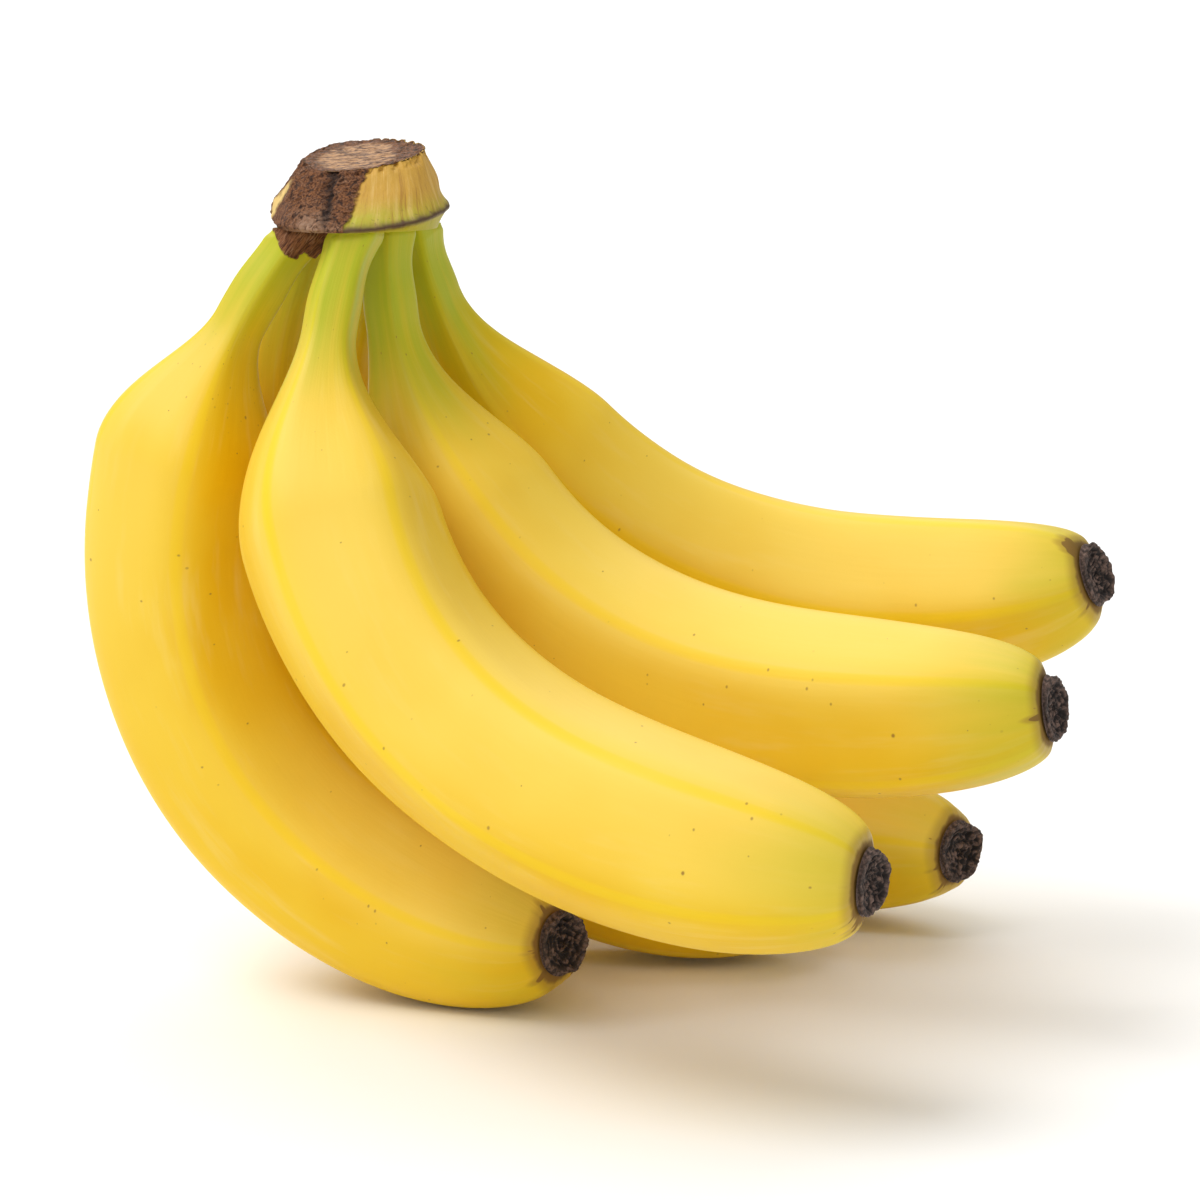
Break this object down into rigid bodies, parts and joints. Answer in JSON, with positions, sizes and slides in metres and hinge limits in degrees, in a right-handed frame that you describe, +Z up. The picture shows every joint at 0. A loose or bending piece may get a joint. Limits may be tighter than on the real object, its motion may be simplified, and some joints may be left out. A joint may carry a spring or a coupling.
{
  "type": "bunch of bananas",
  "caption": "Bunch of curved yellow bananas on a cut crown, lying on its lower fingers with the tips fanned to one side.",
  "frame": {"origin": "middle of the base of the bounding box, on the surface that the bunch lies on", "axes": "+Z up, +X from the crown side towards the tips along the longest side, -Y the front, where the outer row of fingers faces"},
  "size_m": [0.2094, 0.1832, 0.1707],
  "materials": {
    "peel": "ripe yellow peel, smooth and slightly waxy, with small brown specks",
    "peel_green": "yellow peel with a green tinge towards the neck and tip, smooth and slightly waxy",
    "crown": "cut stalk: rough dark brown fibre, with ochre to yellow-green flesh on the knife cuts",
    "blossom_end": "dry, dull, dark brown and wrinkled"
  },
  "bodies": {
    "root": {"crown": "crown", "banana_1": "peel", "banana_2": "peel", "banana_3": "peel_green", "banana_4": "peel_green", "banana_5": "peel", "banana_6": "peel", "blossom_end_1": "blossom_end", "blossom_end_2": "blossom_end", "blossom_end_3": "blossom_end", "blossom_end_4": "blossom_end", "blossom_end_5": "blossom_end", "blossom_end_6": "blossom_end"}
  },
  "joints": []
}
